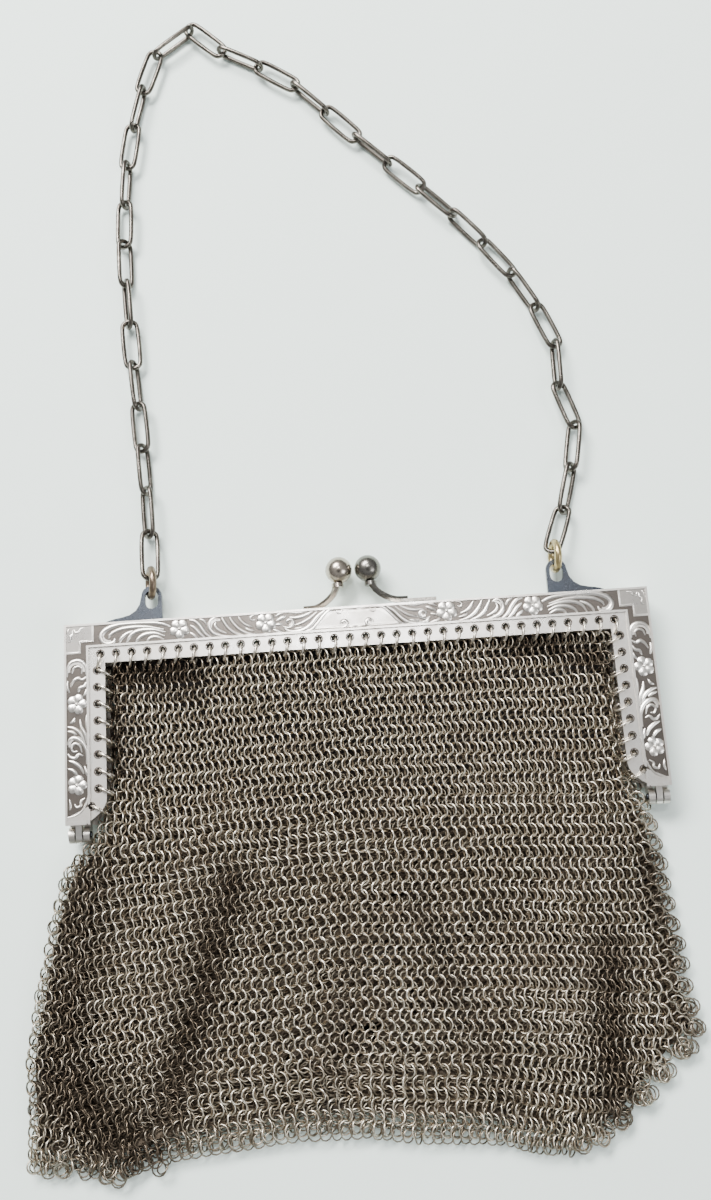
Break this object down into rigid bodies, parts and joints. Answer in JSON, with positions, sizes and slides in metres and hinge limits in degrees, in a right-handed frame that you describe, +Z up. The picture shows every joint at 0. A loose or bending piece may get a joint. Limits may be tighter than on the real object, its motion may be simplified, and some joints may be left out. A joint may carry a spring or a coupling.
{
  "type": "metal mesh purse",
  "caption": "Metal mesh purse: hinged U-shaped frame with raised ornament and kiss clasp, oval-link carrying chain and a soft ring-mail bag, lying flat.",
  "frame": {"origin": "middle of the purse's box in X and Y, on the surface that it lies on", "axes": "+X along the frame's top bar, to the right as seen from the ornamented front; +Y from the bag's hem to the far end of the chain; +Z up, out of the ornamented front"},
  "size_m": [0.1546, 0.292, 0.009],
  "materials": {
    "silver": "satin",
    "worn_silver": "satin",
    "steel": "satin",
    "gunmetal": "satin",
    "bronze": "satin",
    "brass": "satin",
    "mail": "satin"
  },
  "bodies": {
    "root": {"frame_front": "silver", "frame_back": "worn_silver", "hinge_pin_left": "steel", "hinge_pin_right": "steel", "clasp_left": "silver", "clasp_right": "steel", "chain_lug_left": "steel", "chain_lug_right": "steel", "jump_ring_left": "bronze", "jump_ring_right": "brass", "chain_link_01": "gunmetal", "chain_link_02": "gunmetal", "chain_link_03": "gunmetal", "chain_link_04": "gunmetal", "chain_link_05": "gunmetal", "chain_link_06": "gunmetal", "chain_link_07": "gunmetal", "chain_link_08": "gunmetal", "chain_link_09": "gunmetal", "chain_link_10": "gunmetal", "chain_link_11": "gunmetal", "chain_link_12": "gunmetal", "chain_link_13": "gunmetal", "chain_link_14": "gunmetal", "chain_link_15": "gunmetal", "chain_link_16": "gunmetal", "chain_link_17": "gunmetal", "chain_link_18": "gunmetal", "chain_link_19": "gunmetal", "chain_link_20": "gunmetal", "chain_link_21": "gunmetal", "chain_link_22": "gunmetal", "chain_link_23": "gunmetal", "chain_link_24": "gunmetal", "chain_link_25": "gunmetal", "chain_link_26": "gunmetal", "chain_link_27": "gunmetal", "chain_link_28": "gunmetal", "chain_link_29": "gunmetal", "chain_link_30": "gunmetal", "chain_link_31": "gunmetal", "mesh_bag": "mail"}
  },
  "joints": []
}
